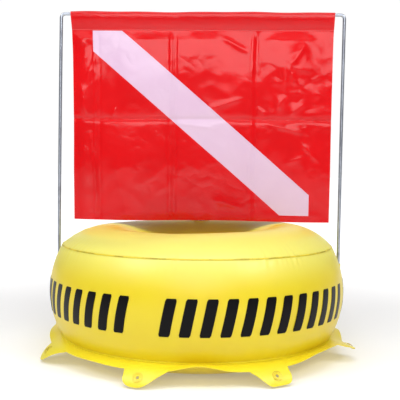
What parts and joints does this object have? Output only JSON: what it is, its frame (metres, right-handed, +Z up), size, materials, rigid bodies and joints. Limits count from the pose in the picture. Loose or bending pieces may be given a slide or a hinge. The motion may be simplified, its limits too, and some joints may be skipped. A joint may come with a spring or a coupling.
{
  "type": "inflatable ring marker buoy with a hoop and flag",
  "caption": "Inflatable yellow ring float with a skirt of tie tabs and a red flag with a white diagonal stripe that swings on a lift-out wire hoop.",
  "frame": {"origin": "on the ring's axis, at the surface that the ring lies on", "axes": "+Z up along the ring's axis, +X along the hoop's top bar to the flag's right-hand end seen from the front, -Y towards the front"},
  "size_m": [0.4254, 0.4254, 0.4765],
  "materials": {
    "yellow_vinyl": "satin gloss",
    "weld_vinyl": "satin gloss",
    "skirt_vinyl": "satin gloss",
    "clear_vinyl": "satin",
    "bare_steel": "drawn wire",
    "red_vinyl": "gloss",
    "white_vinyl": "gloss"
  },
  "bodies": {
    "float": {"top_panel": "yellow_vinyl", "outer_band": "yellow_vinyl", "bottom_panel": "yellow_vinyl", "inner_wall": "yellow_vinyl", "weld_seams": "weld_vinyl", "skirt": "skirt_vinyl", "tab_weld_rings": "skirt_vinyl", "leg_pocket_left": "yellow_vinyl", "leg_pocket_right": "yellow_vinyl", "valve_base": "clear_vinyl", "valve_plug": "clear_vinyl"},
    "hoop": {"hoop_rod": "bare_steel"},
    "flag": {"flag_field": "red_vinyl", "flag_stripe": "white_vinyl"}
  },
  "joints": [
    {"name": "hoop_lift", "type": "slide", "parent": "float", "child": "hoop", "axis": [0, 0, 1], "range_m": [0, 0.06]},
    {"name": "flag_swing", "type": "hinge", "parent": "hoop", "child": "flag", "pos_m": [0, 0.0326, 0.4729], "axis": [1, 0, 0], "range_deg": [-90, 90]}
  ]
}
